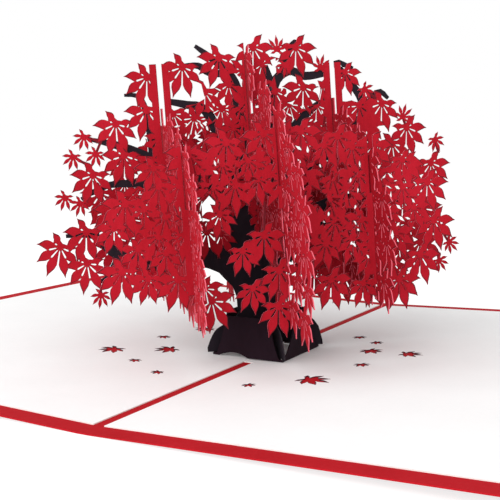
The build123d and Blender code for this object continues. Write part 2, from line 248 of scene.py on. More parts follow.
def turned_left(points):
    """The same outline, counter-clockwise."""
    area = sum(points[k - 1][0] * points[k][1] - points[k][0] * points[k - 1][1] for k in range(len(points)))
    return list(points) if area > 0 else list(points)[::-1]


def doubled_area(verts, tri):
    a, b, c = (verts[i] for i in tri)
    return (b - a).x * (c - a).y - (b - a).y * (c - a).x


class Cutter:
    """Paper to keep and paper to cut away on one sheet.

    Openings cut the paper, but not what hangs in them. Slits cut both, and slots cut plain strips too.
    """

    def __init__(self):
        self.outlines = []

    def add(self, kind, points):
        self.outlines.append((kind, points))

    def paper(self, points):
        points = turned_left(points)
        self.add("paper", points)
        self.add("core", offset(points, RIM))

    def strip(self, points):
        """Plain paper that no slit crosses."""
        self.add("strip", points)
        self.add("strip_core", offset(points, RIM))

    def opening(self, points):
        points = turned_left(points)
        self.add("opening", points)
        self.add("opening_rim", offset(points, -RIM))

    def slot(self, points):
        self.add("slot", points)
        self.add("slot_rim", offset(points, -RIM))

    def leaf(self, across, up, size, turn=0.0, side=0, hung=False, slits=WIDE_SLITS, shape=None):
        """A leaf with its slits. Left of the trunk it is mirrored, if no side is given."""
        side = side or (-1 if across < 0 else 1)
        outline, core = shape or (LEAF if size > SMALL else SMALL_LEAF)
        self.add("hung" if hung else "paper", placed(outline, across, up, size, turn, side))
        self.add("hung_core" if hung else "core", placed(core, across, up, size, turn, side))
        if slits and size > SMALL:
            for points, rim in zip(*slits):
                self.add("slit", placed(points, across, up, size, turn, side))
                self.add("slit_rim", placed(rim, across, up, size, turn, side))

    def stalk(self, points):
        """A thin line of paper that ties a leaf to its neighbour."""
        for (x0, y0), (x1, y1) in zip(points, points[1:]):
            run = Vector((x1 - x0, y1 - y0)).normalized()
            aside = Vector((-run.y, run.x)) * (STALK / 2)
            ahead = run * (STALK / 3)
            a = Vector((x0, y0)) - ahead
            b = Vector((x1, y1)) + ahead
            self.add("hung", [tuple(a - aside), tuple(b - aside), tuple(b + aside), tuple(a + aside)])

    def triangles(self):
        """Corners, and triangles as three indices with 1 for rim and 0 for the rest."""
        corners = []
        faces = []
        for kind, points in self.outlines:
            start = len(corners)
            corners += [Vector(p) for p in points]
            faces.append(list(range(start, len(corners))))
        verts, _, tris, _, _, sources = delaunay_2d_cdt(corners, [], faces, 0, ONE_POINT)
        kept = []
        for tri, source in zip(tris, sources):
            kinds = {self.outlines[k][0] for k in source}
            strip = "strip" in kinds
            whole = "hung" in kinds or ("paper" in kinds and "opening" not in kinds)
            if "slot" in kinds or not (strip or (whole and "slit" not in kinds)):
                continue
            plain = ("core" in kinds and "opening_rim" not in kinds) or "hung_core" in kinds
            plain = ("strip_core" in kinds or (plain and "slit_rim" not in kinds)) and "slot_rim" not in kinds
            area = doubled_area(verts, tri)
            if abs(area) >= NO_AREA:
                kept.append((tuple(tri) if area > 0 else tuple(tri)[::-1], int(not plain)))
        return verts, largest_piece(verts, kept)


def largest_piece(verts, kept):
    """The triangles that hang together by their edges, without scraps that the slits cut loose."""
    group = list(range(len(kept)))

    def root(k):
        while group[k] != k:
            group[k] = group[group[k]]
            k = group[k]
        return k

    seen = {}
    for k, (tri, _) in enumerate(kept):
        for i in range(3):
            edge = frozenset((tri[i], tri[i - 1]))
            if edge in seen:
                group[root(k)] = root(seen[edge])
            seen[edge] = k
    areas = {}
    for k, (tri, _) in enumerate(kept):
        areas[root(k)] = areas.get(root(k), 0.0) + doubled_area(verts, tri)
    best = max(areas, key=areas.get)
    return [entry for k, entry in enumerate(kept) if root(k) == best]


def paper_mesh(name, cutter, place, thick, materials):
    """A flat sheet of cut paper: both faces and the cut walls between them. place(x, y, depth) is in mm."""
    verts, kept = cutter.triangles()
    used = sorted({i for tri, _ in kept for i in tri})
    order = {old: new for new, old in enumerate(used)}
    top = [place(verts[i].x, verts[i].y, thick) * MM for i in used]
    low = [place(verts[i].x, verts[i].y, 0.0) * MM for i in used]
    count = len(used)
    faces = []
    marks = []
    edges = {}
    for tri, rim in kept:
        a, b, c = (order[i] for i in tri)
        faces.append((a, b, c))
        marks.append(rim)
        faces.append((c + count, b + count, a + count))
        marks.append(rim)
        for pair in ((a, b), (b, c), (c, a)):
            edges[pair] = rim
    for (a, b), rim in edges.items():
        if (b, a) not in edges:
            faces.append((a + count, b + count, b, a))
            marks.append(WALL_BY_RIM if rim else WALL_BY_PLAIN)
    mesh = bpy.data.meshes.new(name)
    mesh.from_pydata(top + low, [], faces)
    for material in materials:
        mesh.materials.append(material)
    for face, mark in zip(mesh.polygons, marks):
        face.material_index = mark
    mesh.update()
    obj = bpy.data.objects.new(name, mesh)
    bpy.context.scene.collection.objects.link(obj)
    return obj


# Materials
ROUGHNESS = 0.86
SPECULAR = 0.10
CLOUD_SCALE = 55.0
CLOUD_DETAIL = 3.0
FIBRE_SCALE = 900.0
FIBRE_DETAIL = 4.0
FIBRE_STRETCH = (1.0, 1.0, 0.35)
DEEP_BELOW = 0.45     # noise up to which the deep colour lasts
TOOTH = 0.0002        # height of the fibres, in metres


def noise(nodes, scale, detail):
    node = nodes.new("ShaderNodeTexNoise")
    node.inputs["Scale"].default_value = scale
    node.inputs["Detail"].default_value = detail
    return node


def paper_material(name, colour, deep, grain=0.06, fibre=0.5):
    """Matt paper: a colour that drifts a little, fine fibres and a soft tooth."""
    material = bpy.data.materials.new(name)
    material.use_nodes = True
    nodes = material.node_tree.nodes
    links = material.node_tree.links
    shader = nodes["Principled BSDF"]
    shader.inputs["Roughness"].default_value = ROUGHNESS
    shader.inputs["Specular IOR Level"].default_value = SPECULAR
    where = nodes.new("ShaderNodeTexCoord")
    cloud = noise(nodes, CLOUD_SCALE, CLOUD_DETAIL)
    fibres = noise(nodes, FIBRE_SCALE, FIBRE_DETAIL)
    stretch = nodes.new("ShaderNodeMapping")
    stretch.inputs["Scale"].default_value = FIBRE_STRETCH
    links.new(where.outputs["Object"], cloud.inputs["Vector"])
    links.new(where.outputs["Object"], stretch.inputs["Vector"])
    links.new(stretch.outputs["Vector"], fibres.inputs["Vector"])
    mix = nodes.new("ShaderNodeMath")
    mix.operation = "MULTIPLY_ADD"
    mix.inputs[1].default_value = fibre
    links.new(fibres.outputs["Fac"], mix.inputs[0])
    links.new(cloud.outputs["Fac"], mix.inputs[2])
    ramp = nodes.new("ShaderNodeValToRGB")
    low, high = ramp.color_ramp.elements
    low.position = DEEP_BELOW
    low.color = (*deep, 1.0)
    high.position = 1.0
    high.color = (*colour, 1.0)
    links.new(mix.outputs["Value"], ramp.inputs["Fac"])
    links.new(ramp.outputs["Color"], shader.inputs["Base Color"])
    bump = nodes.new("ShaderNodeBump")
    bump.inputs["Strength"].default_value = grain
    bump.inputs["Distance"].default_value = TOOTH
    links.new(fibres.outputs["Fac"], bump.inputs["Height"])
    links.new(bump.outputs["Normal"], shader.inputs["Normal"])
    return material


leaf_red = paper_material("leaf_red", (0.42, 0.009, 0.021), (0.32, 0.005, 0.012))
# Darker rim along the leaves' cuts: partly burnt paper, partly painted shade along the edges
leaf_rim_burn_and_shade = paper_material("leaf_rim_burn_and_shade", (0.18, 0.010, 0.017), (0.09, 0.008, 0.012))
# Lighter pink walls of the leaves' cuts: a painted highlight for lit cut edges
leaf_wall_highlight = paper_material("leaf_wall_highlight", (0.68, 0.110, 0.150), (0.46, 0.040, 0.065), fibre=1.0)
dark_paper = paper_material("dark_paper", (0.020, 0.014, 0.020), (0.011, 0.008, 0.012))
# Darker rim along the trunk's cuts: partly burnt paper, partly painted shade along the edges
dark_rim_burn_and_shade = paper_material("dark_rim_burn_and_shade", (0.012, 0.010, 0.013), (0.006, 0.005, 0.007))
dark_wall = paper_material("dark_wall", (0.040, 0.032, 0.040), (0.020, 0.016, 0.020))
root_paper = paper_material("root_paper", (0.015, 0.006, 0.011), (0.009, 0.003, 0.006))
cover_red = paper_material("cover_red", (0.42, 0.008, 0.015), (0.36, 0.005, 0.010))
liner_white = paper_material("liner_white", (0.83, 0.83, 0.83), (0.80, 0.80, 0.80), grain=0.04)
liner_burn = paper_material("liner_burn", (0.16, 0.03, 0.05), (0.06, 0.012, 0.022))
liner_hole = paper_material("liner_hole", (0.060, 0.012, 0.022), (0.025, 0.006, 0.012))
liner_edge = paper_material("liner_edge", (0.80, 0.78, 0.76), (0.70, 0.68, 0.66))

# Face, darker rim, wall beside a rim and wall beside plain paper. Leaf and trunk rims are partly burnt,
# partly painted shade; leaf walls are a painted highlight
LEAF_MATERIALS = (leaf_red, leaf_rim_burn_and_shade, leaf_wall_highlight, leaf_wall_highlight)
DARK_MATERIALS = (dark_paper, dark_rim_burn_and_shade, dark_wall, dark_wall)
LINER_MATERIALS = (liner_white, liner_burn, liner_hole, liner_edge)

for node, material in (("cover", cover_red), ("root_box", root_paper)):
    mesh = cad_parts[node].data
    mesh.materials.clear()
    mesh.materials.append(material)


# Places of the sheets
def wide_place(step, forward=0.0):
    """Puts points of a sheet across the view in place. forward is towards the camera."""
    origin = TREE_FOOT + ALONG_CROSS * (step * PITCH + forward)
    return lambda x, y, depth: origin + ALONG_WIDE * x + UP * y + ALONG_CROSS * depth


def cross_place(step, forward=0.0):
    """The same for a crossing sheet."""
    origin = TREE_FOOT + ALONG_WIDE * (step * PITCH - forward)
    return lambda x, y, depth: origin + ALONG_CROSS * x + UP * y - ALONG_WIDE * depth


def lap_height(wide_step, cross_step):
    """Height to which the slots of two sheets that cross reach."""
    if wide_step == 0 and cross_step == 0:
        return LAPS["centre"]
    if wide_step == 0:
        return LAPS["wide"]
    if cross_step == 0:
        return LAPS["cross"]
    return LAPS["corner"]


def cut_slots(cutter, wide_step=None, cross_step=None):
    """Slots from the top of a sheet across the view, or from the foot of a crossing one."""
    for step in STEPS:
        x0 = step * PITCH - HALF_SLOT
        x1 = step * PITCH + HALF_SLOT
        if cross_step is None:
            cutter.slot(rect(x0, x1, lap_height(wide_step, step), BEYOND))
        else:
            cutter.slot(rect(x0, x1, -BEYOND, lap_height(step, cross_step)))


def inside(point, outline):
    x, y = point
    odd = False
    for k in range(len(outline)):
        (x0, y0), (x1, y1) = outline[k - 1], outline[k]
        if (y0 > y) != (y1 > y) and x < x0 + (y - y0) * (x1 - x0) / (y1 - y0):
            odd = not odd
    return odd


# Where leaves and gaps may come: from and to, across and up
CROWN_ACROSS = (-54.0, 56.0)
CROWN_UP = (16.0, 86.0)
SPECKS_UP = (16.0, 84.0)
VIEWS_ACROSS = (-42.0, 42.0)
VIEWS_UP = (24.0, 62.0)

# The leaves inside a crown: how far they stray, how they turn, their sizes, how many face outwards,
# and how far below its middle a leaf is looked for in the crown and in its openings
CROWN_PITCH = (6.9, 6.0)
FRINGE_PITCH = (6.0, 5.4)
LEAF_STRAY = (1.5, 1.4)
LEAF_TURN = (-14, 24)
LEAF_SIZE = (0.80, 1.0)
OUTWARDS = 0.75
BELOW_IN_CROWN = 2.0
BELOW_IN_OPENING = 1.0

# Small gaps: distance apart, stray as a share of it, half length, half width, and distance from the edge
# of the crown
SPECKS_APART = 2.9
SPECK_STRAY = 0.5
SPECK_HALF = (0.5, 1.25)
SPECK_WIDE = (0.16, 0.32)
SPECK_MARGIN = 3.0
SPECK_SEED = 20       # added to a sheet's seed

# Gaps that lie one behind the other: distance apart, stray, half length, half width, turn, and distance
# from the edge of the crown
VIEWS_APART = (3.9, 3.7)
VIEW_STRAY = 2.0
VIEW_HALF = (0.8, 1.5)
VIEW_WIDE = (0.30, 0.46)
VIEW_TURN = (20, 160)
VIEW_MARGIN = 2.0
VIEW_SEED = 51
EDGE_ON = 3.6         # the crossing sheets are seen nearly edge on, so their gaps are this much wider
UPRIGHT = 90.0        # turn of the gaps of the crossing sheets


def places(across_range, up_range, pitch, stagger=0.0):
    """Places in rows, every other row shifted."""
    row = 0
    up = up_range[0]
    while up < up_range[1]:
        across = across_range[0] + (row % 2) * stagger
        while across < across_range[1]:
            yield across, up
            across += pitch[0]
        up += pitch[1]
        row += 1


def crown_leaves(cutter, outline, openings, seed, pitch, slit_share, slits):
    """The overlapping leaves inside a crown, their stalks clear of the openings."""
    chance = random.Random(seed)
    for across, up in places(CROWN_ACROSS, CROWN_UP, pitch, pitch[0] / 2):
        x = across + chance.uniform(-LEAF_STRAY[0], LEAF_STRAY[0])
        y = up + chance.uniform(-LEAF_STRAY[1], LEAF_STRAY[1])
        turn = chance.uniform(*LEAF_TURN)
        side = (-1 if x < 0 else 1) * (1 if chance.random() < OUTWARDS else -1)
        size = chance.uniform(*LEAF_SIZE)
        cut = slits if chance.random() < slit_share else ()
        in_opening = any(inside((x, y - BELOW_IN_OPENING), opening) for opening in openings)
        if inside((x, y - BELOW_IN_CROWN), outline) and not in_opening:
            cutter.leaf(x, y, size, turn, side, slits=cut, shape=INNER_LEAF)


def well_inside(point, outline, margin):
    x, y = point
    return all(inside((x + dx, y + dy), outline) for dx in (-margin, margin) for dy in (-margin, margin))


def speck(cutter, x, y, half, wide, turn):
    """A lens-shaped gap."""
    for kind, grow in (("slit", 0.0), ("slit_rim", RIM)):
        lens = [(-half, 0), (0, -wide - grow), (half, 0), (0, wide + grow)]
        cutter.add(kind, placed(lens, x, y, 1.0, turn, 1))


def specks(cutter, outline, openings, seed):
    """Small gaps in all directions, left where leaves overlap."""
    chance = random.Random(seed)
    for across, up in places(CROWN_ACROSS, SPECKS_UP, (SPECKS_APART, SPECKS_APART)):
        x = across + chance.uniform(-SPECKS_APART, SPECKS_APART) * SPECK_STRAY
        y = up + chance.uniform(-SPECKS_APART, SPECKS_APART) * SPECK_STRAY
        half = chance.uniform(*SPECK_HALF)
        wide = chance.uniform(*SPECK_WIDE)
        turn = chance.uniform(0, 180)
        in_opening = any(inside((x, y), opening) for opening in openings)
        if well_inside((x, y), outline, SPECK_MARGIN) and not in_opening:
            speck(cutter, x, y, half, wide, turn)


def seen_on_sheet(start, normal, step):
    """Where the view from the camera through a point meets a sheet, measured from the tree's foot."""
    ray = start - EYE
    off = (start - TREE_FOOT).dot(normal) - step * PITCH
    return start - ray * (off / ray.dot(normal)) - TREE_FOOT


def clear_views():
    """Gaps of all the leaf sheets that lie one behind the other, seen from the photograph's side."""
    chance = random.Random(VIEW_SEED)
    wide = {step: [] for step in STEPS}
    cross = {step: [] for step in STEPS}
    for across, up in places(VIEWS_ACROSS, VIEWS_UP, VIEWS_APART):
        x = across + chance.uniform(-VIEW_STRAY, VIEW_STRAY)
        y = up + chance.uniform(-VIEW_STRAY, VIEW_STRAY)
        half = chance.uniform(*VIEW_HALF)
        breadth = chance.uniform(*VIEW_WIDE)
        turn = chance.uniform(*VIEW_TURN)
        if not well_inside((x, y), WIDE_SIDE, VIEW_MARGIN):
            continue
        start = wide_place(1)(x, y, 0.0)
        for step in STEPS:
            point = seen_on_sheet(start, ALONG_CROSS, step)
            grow = 1.0 if step == 1 else FAR_GROW
            wide[step].append((point.dot(ALONG_WIDE), point.dot(UP), half * grow, breadth * grow, turn))
            point = seen_on_sheet(start, ALONG_WIDE, step)
            across_cross = point.dot(ALONG_CROSS)
            if across_cross < PITCH:
                cross[step].append((across_cross, point.dot(UP), half * FAR_GROW, breadth * EDGE_ON, UPRIGHT))
    return wide, cross


def plain_strips(cutter, heights, width):
    """Plain strips beside the slots, the middle one narrow."""
    for step, (low, high) in zip(STEPS, heights):
        half = HALF_SLOT + (width if step else width * MIDDLE_STRIP)
        cutter.strip(rect(step * PITCH - half, step * PITCH + half, low, high))


# The leaf sheets: the middle of each crown, the leaves round it as across, up, size, turn and side, and
# the stalks that tie leaves to their neighbours
WIDE_MID = (
    (-40, 42), (-38, 49), (-32.5, 59), (-27, 70), (-16, 76), (0, 81), (16, 79), (29, 73), (38, 64), (44, 54),
    (47, 38), (45, 22), (38, 20), (20, 22), (14, 27), (9, 35), (0, 39), (-10, 41), (-18, 36), (-22, 28),
    (-33, 30), (-35, 38),
)
WIDE_MID_LEAVES = (
    (-28.5, 80.6, LARGE, SWING), (-18.5, 82.8, LARGE, SWING), (-8, 84.8, LARGE, SWING),
    (2, 87.2, LARGE, 0), (9, 86.2, SMALL, 165, -1), (11, 82.2, SMALL, -20), (14.5, 86.6, LARGE, 0),
    (21.5, 80.5, SMALL, 150), (29, 79, MEDIUM, 0), (34.5, 74, SMALL, 20), (39.8, 69.4, LARGE, SWING, -1),
    (46.2, 65, SMALL, 150), (47.3, 62, LARGE, 0), (56.2, 58, SMALL, 10), (54.6, 51, LARGE, 0),
    (51.5, 37.6, LARGE, 10), (56.4, 31.4, SMALL, 30), (59.4, 26.8, SMALL, 30), (50, 27.5, LARGE, 14),
    (55.8, 21.6, SMALL, 20), (43, 17.5, LARGE, 0), (34, 18, LARGE, 5), (25, 20, LARGE, -5),
    (16, 22, LARGE, 0), (-15, 37, LARGE, 0), (-29.3, 71.8, LARGE, 5), (-38, 68.6, LARGE, 5),
    (-46.8, 66, SMALL, SWING), (-50.1, 60.9, SMALL, SWING), (-44, 61.2, SMALL, SWING),
    (-45.3, 55.4, LARGE, SWING), (-53.2, 50.2, SMALL, SWING), (-49.3, 48.3, SMALL, SWING),
    (-48.5, 40.2, LARGE, SWING), (-55.8, 36.8, LARGE, 18), (-49, 31.6, LARGE, 0), (-46, 22.7, SMALL, 0),
    (-37.6, 29.4, LARGE, 0), (-30.5, 26.4, MEDIUM, SWING), (-24.5, 24.5, LARGE, SWING),
    (16, 75.4, LARGE, SWING, -1), (42.5, 57.4, LARGE, 0, -1), (46.5, 49.8, LARGE, 0),
    (-36.5, 60, LARGE, SWING), (-40.2, 45.5, LARGE, SWING), (45, 41, LARGE, 0), (-18.5, 35.5, MEDIUM, SWING),
    (-11, 36, MEDIUM, 0),
)
WIDE_MID_STALKS = (
    ((34.5, 74), (38.6, 70.6)), ((46.2, 65), (47, 62.5)), ((56.4, 31.4), (55.6, 28.2)),
    ((56.2, 57.5), (57.2, 54)), ((56.4, 31.4), (59.4, 26.8)), ((55.8, 21.6), (55.4, 24.8)),
    ((-46.8, 66), (-43, 64.4)), ((-44, 61.2), (-41.8, 65.4)), ((-50.1, 60.9), (-47.2, 58.7)),
    ((-48.5, 40.2), (-43.5, 40.4), (-40, 43)), ((-55.8, 36.8), (-51.9, 31.9), (-49, 31.6)),
    ((-49, 31.6), (-43.6, 29), (-37.6, 29.4)), ((-46, 22.7), (-46, 25)),
)
WIDE_SIDE = (
    (-38.5, 34), (-39, 44), (-33, 51.5), (-24, 58), (-10, 62), (0, 64), (10, 62), (24, 57), (35, 52),
    (41, 44), (41, 36), (34, 26), (20, 24), (8, 34), (4, 43), (-8, 45), (-18, 48), (-24, 34), (-36, 34),
)
WIDE_SIDE_LEAVES = (
    (-43, 32, LARGE, SWING), (-36.5, 29.5, MEDIUM, SWING), (-29, 28.5, LARGE, SWING),
    (-44, 43, MEDIUM, SWING), (-40.8, 48.8, LARGE, SWING), (-33, 57, MEDIUM, SWING), (-24, 60, LARGE, SWING),
    (-14, 62, LARGE, SWING), (-4, 63.5, LARGE, 0), (6, 63.5, LARGE, 0), (16, 61.5, LARGE, 0),
    (25.5, 58.5, LARGE, 0), (34, 54, MEDIUM, 0), (41, 47.5, LARGE, 0), (42.5, 37, LARGE, 0),
    (38, 28, LARGE, 0), (31.5, 22, LARGE, 0), (21, 22, MEDIUM, 0), (12, 24, LARGE, 0),
)
# The back sheet's left leaves stand further in, since the photograph shows nothing of them
WIDE_BACK_LEAVES = (
    (-38.5, 33, LARGE, SWING), (-34, 31, MEDIUM, SWING), WIDE_SIDE_LEAVES[2], (-40, 43, MEDIUM, SWING),
) + WIDE_SIDE_LEAVES[4:]
FRONT_HANGING = (
    (-38.5, 37.2, MEDIUM, SWING), (-31.5, 35.5, MEDIUM, SWING), (-20.7, 22, LARGE, 14, 1),
    (-22.2, 25.4, MEDIUM, 12, 1), (-11.6, 34, MEDIUM, 0, 1), (-9.6, 24, MEDIUM, -10, 1),
    (-5.6, 37.5, LARGE, 0, 1), (-2.2, 28, LARGE, 0, 1), (-3, 18.5, LARGE, 0, 1), (-17, 44, MEDIUM, 0, -1),
)
FRONT_STALKS = (
    ((-5.6, 37.5), (-5, 46)), ((-11.6, 34), (-9, 36.3), (-5.6, 37.5)), ((-2.2, 28), (-4, 31.5)),
    ((-9.6, 24), (-5.5, 26.4)), ((-3, 18.5), (-2.6, 22)), ((-20, 22), (-26, 26)), ((-17, 44), (-14.5, 49)),
)
CROSS_MID = (
    (-41, 30), (-39, 46), (-31, 60), (-20, 68), (-8, 78), (0, 82), (8, 78), (20, 68), (31, 60), (39, 46),
    (41, 32), (36, 30), (26, 32), (14, 35), (8, 40), (-8, 40), (-14, 35), (-26, 32), (-36, 30),
)
CROSS_MID_LEAVES = (
    (1.2, 80.5, LARGE, 0), (15, 74, LARGE, 0), (26.5, 68, LARGE, 0), (33, 60, MEDIUM, 0), (39, 54, MEDIUM, 0),
    (41.5, 45, LARGE, 0), (42, 34, LARGE, 0), (41.5, 25, MEDIUM, 0), (37.5, 17.5, LARGE, 0),
    (28, 19, LARGE, 0), (17, 23, LARGE, 0),
)
CROSS_TOP_LEAF = ((0, 84.4, LARGE, 0),)
CROSS_LOW_LEAVES = ((33.5, 26.5, MEDIUM, 8), (23.5, 28.5, MEDIUM, -6), (12.5, 32, MEDIUM, 6))
CROSS_SIDE = (
    (-32, 30), (-30, 46), (-23, 55), (-11, 63), (0, 66), (11, 63), (23, 55), (30, 46), (32, 30), (28, 23),
    (0, 25), (-28, 23),
)
CROSS_SIDE_LEAVES = (
    (5, 66, LARGE, 0), (15, 61, LARGE, 0), (25, 54.5, LARGE, 0), (32, 45, LARGE, 0),
    (33.5, 33.5, LARGE, 0), (30.5, 23, LARGE, 0), (19.5, 23.5, LARGE, 0), (8, 25, LARGE, 0),
)
LEFT_NEAR_LEAVES = (
    (9.5, 67.5, MEDIUM, 0), (19, 64, MEDIUM, 0), (26.5, 59.5, MEDIUM, 0), (33, 52.5, MEDIUM, 0),
    (35.5, 42.5, MEDIUM, 0), (35.8, 31.5, MEDIUM, 0), (33, 22.5, MEDIUM, 0),
)

# Feet and heads of the plain strips beside the slots, by step
WIDE_MID_STRIPS = ((27, 84), (42, 86), (20, 82))
WIDE_SIDE_STRIPS = ((24, 62), (44, 68), (24, 61))
CROSS_MID_STRIPS = ((16, 68), (38, 86), (16, 68))
CROSS_SIDE_STRIPS = ((17, 56), (20, 72), (17, 56))

# Openings in the crown through which the branches and the far side show. GAP lines up through the three
# sheets across the view
GAP = ((-2.1, -3.5), (1.4, -2.9), (2.2, 1.8), (0.4, 3.7), (-2.0, 1.4))
GAP_PLACES = {1: (-20.0, 46.0), 0: (-14.0, 43.5), -1: (-11.5, 43.0)}
WIDE_MID_OPENINGS = (
    ((-23.3, 79.0), (-23.4, 74.0), (-20.0, 72.3), (-15.4, 72.7), (-12.8, 74.0), (-13.5, 78.0), (-18.0, 80.5)),
    ((10.8, 78.0), (11.0, 71.4), (14.7, 69.7), (20.2, 70.5), (21.2, 74.5), (20.1, 78.4)),
    ((-5.4, 80.3), (-4.2, 77.5), (-1.9, 76.5), (-1.4, 78.2), (-3.6, 80.4)),
    ((5.4, 81.6), (5.2, 78.4), (6.9, 77.7), (8.3, 80.1), (8.4, 84.0), (6.6, 83.4)),
    ((3.3, 71.5), (3.3, 68.2), (5.6, 66.6), (6.6, 69.1), (4.7, 70.3)),
    ((-12.5, 69.7), (-11.2, 67.4), (-9.7, 68.7), (-11.3, 70.5)),
    ((13.3, 66.1), (15.6, 64.5), (18.5, 68.0), (18.1, 69.3), (15.4, 68.6)),
    (
        (-7.5, 38.0), (-4.4, 39.2), (-1.9, 37.0), (-2.8, 40.2), (-2.4, 44.2), (-4.8, 42.6), (-7.2, 44.5),
        (-6.6, 41.5),
    ),
    ((11.4, 40.4), (12.2, 34.0), (13.2, 33.2), (12.9, 39.0)),
    ((16.3, 43.0), (18.6, 41.6), (19.8, 39.4), (21.0, 41.0), (20.5, 44.8), (17.6, 46.0)),
    ((-37.0, 51.2), (-33.0, 51.4), (-31.0, 50.3), (-29.0, 51.4), (-30.0, 53.2), (-35.0, 53.6)),
    ((-35.8, 41.6), (-33.4, 41.2), (-33.0, 42.8), (-34.8, 43.2)),
    ((-17.4, 62.9), (-16.0, 61.4), (-13.6, 62.9), (-14.3, 65.8), (-15.8, 64.4)),
    ((-35.5, 63.2), (-32.4, 62.6), (-28.6, 61.4), (-28.6, 59.2), (-32.1, 59.7), (-35.5, 60.9)),
)
WIDE_FRONT_OPENINGS = (
    ((3.4, 43.0), (4.3, 36.5), (5.0, 36.3), (4.7, 41.5)),
    ((7.8, 45.6), (9.8, 44.0), (11.2, 42.0), (13.2, 43.4), (11.6, 46.8), (9.0, 48.2)),
    ((-40.3, 53.0), (-36.0, 52.0), (-32.4, 52.6), (-33.6, 54.6), (-38.0, 55.0)),
    ((-39.2, 44.0), (-37.2, 43.4), (-36.8, 45.0), (-38.4, 45.6)),
    ((-22.7, 63.3), (-21.4, 61.8), (-19.4, 63.2), (-19.9, 65.8), (-21.3, 64.7)),
)
# Gaps between the bunches at the top of the middle crossing sheet
NEAR_BUNCH_OPENINGS = (
    ((1.5, 75.5), (5.8, 75.0), (6.4, 84.0), (9.6, 82.0), (9.4, 69.5), (1.5, 69.0)),
    ((20.4, 76.0), (22.8, 74.0), (22.0, 63.5), (19.6, 63.5)),
)


def both_sides(rows):
    """Rows that start with a distance across, and the same rows for the far side."""
    return rows + tuple((-row[0], *row[1:]) for row in rows)


def crown(
    outline, leaves, strip_heights, strip, seed, views, openings=(), stalks=(),
    pitch=CROWN_PITCH, slit_share=0.8, slits=FINE_SLITS,
):
    """A leaf sheet. strip is the width of the plain strips beside its slots, and slit_share the share of
    the inner leaves that are slit.
    """
    cutter = Cutter()
    plain_strips(cutter, strip_heights, strip)
    for points in openings:
        cutter.opening(points)
    crown_leaves(cutter, outline, openings, seed, pitch, slit_share, slits)
    for row in leaves:
        cutter.leaf(*row, hung=True)
    for points in stalks:
        cutter.stalk(points)
    specks(cutter, outline, openings, seed + SPECK_SEED)
    for row in views:
        speck(cutter, *row)
    return cutter


def gap(step):
    across, up = GAP_PLACES[step]
    return tuple((across + x, up + y) for x, y in GAP)


def finish_sheet(name, node, cutter, place, thick, materials):
    obj = paper_mesh(name, cutter, place, thick, materials)
    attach(obj, "root")
    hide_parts(node)


def finish_leaves(name, node, cutter, place):
    finish_sheet(name, node, cutter, place, PAPER, LEAF_MATERIALS)


wide_views, cross_views = clear_views()
mid = crown(
    WIDE_MID, WIDE_MID_LEAVES, WIDE_MID_STRIPS, strip=1.9, seed=11, views=wide_views[0],
    openings=WIDE_MID_OPENINGS + (gap(0),), stalks=WIDE_MID_STALKS,
)
cut_slots(mid, wide_step=0)
finish_leaves("sheet_a_mid", "leaves_a_mid", mid, wide_place(0))

front = crown(
    WIDE_SIDE, WIDE_SIDE_LEAVES + FRONT_HANGING, WIDE_SIDE_STRIPS, strip=1.1, seed=12, views=wide_views[1],
    openings=WIDE_FRONT_OPENINGS + (gap(1),), stalks=FRONT_STALKS,
)
cut_slots(front, wide_step=1)
finish_leaves("sheet_a_front", "leaves_a_front", front, wide_place(1))

back = crown(
    WIDE_SIDE, WIDE_BACK_LEAVES, WIDE_SIDE_STRIPS, strip=1.5, seed=13, views=wide_views[-1],
    openings=(gap(-1),),
)
cut_slots(back, wide_step=-1)
finish_leaves("sheet_a_back", "leaves_a_back", back, wide_place(-1))

far_bunch_openings = tuple(tuple((-x, y) for x, y in points) for points in NEAR_BUNCH_OPENINGS)
fringed = {"strip": 0.5, "pitch": FRINGE_PITCH, "slit_share": 1.0, "slits": FRINGE_SLITS}
cross = crown(
    CROSS_MID, both_sides(CROSS_MID_LEAVES + CROSS_LOW_LEAVES) + CROSS_TOP_LEAF, CROSS_MID_STRIPS, seed=14,
    views=cross_views[0], openings=NEAR_BUNCH_OPENINGS + far_bunch_openings, **fringed,
)
cut_slots(cross, cross_step=0)
finish_leaves("sheet_b_mid", "leaves_b_mid", cross, cross_place(0))
for step, side, near, seed in ((-1, "left", LEFT_NEAR_LEAVES, 15), (1, "right", (), 17)):
    cross = crown(
        CROSS_SIDE, both_sides(CROSS_SIDE_LEAVES) + near, CROSS_SIDE_STRIPS, seed=seed,
        views=cross_views[step], **fringed,
    )
    cut_slots(cross, cross_step=step)
    finish_leaves("sheet_b_" + side, "leaves_b_" + side, cross, cross_place(step))


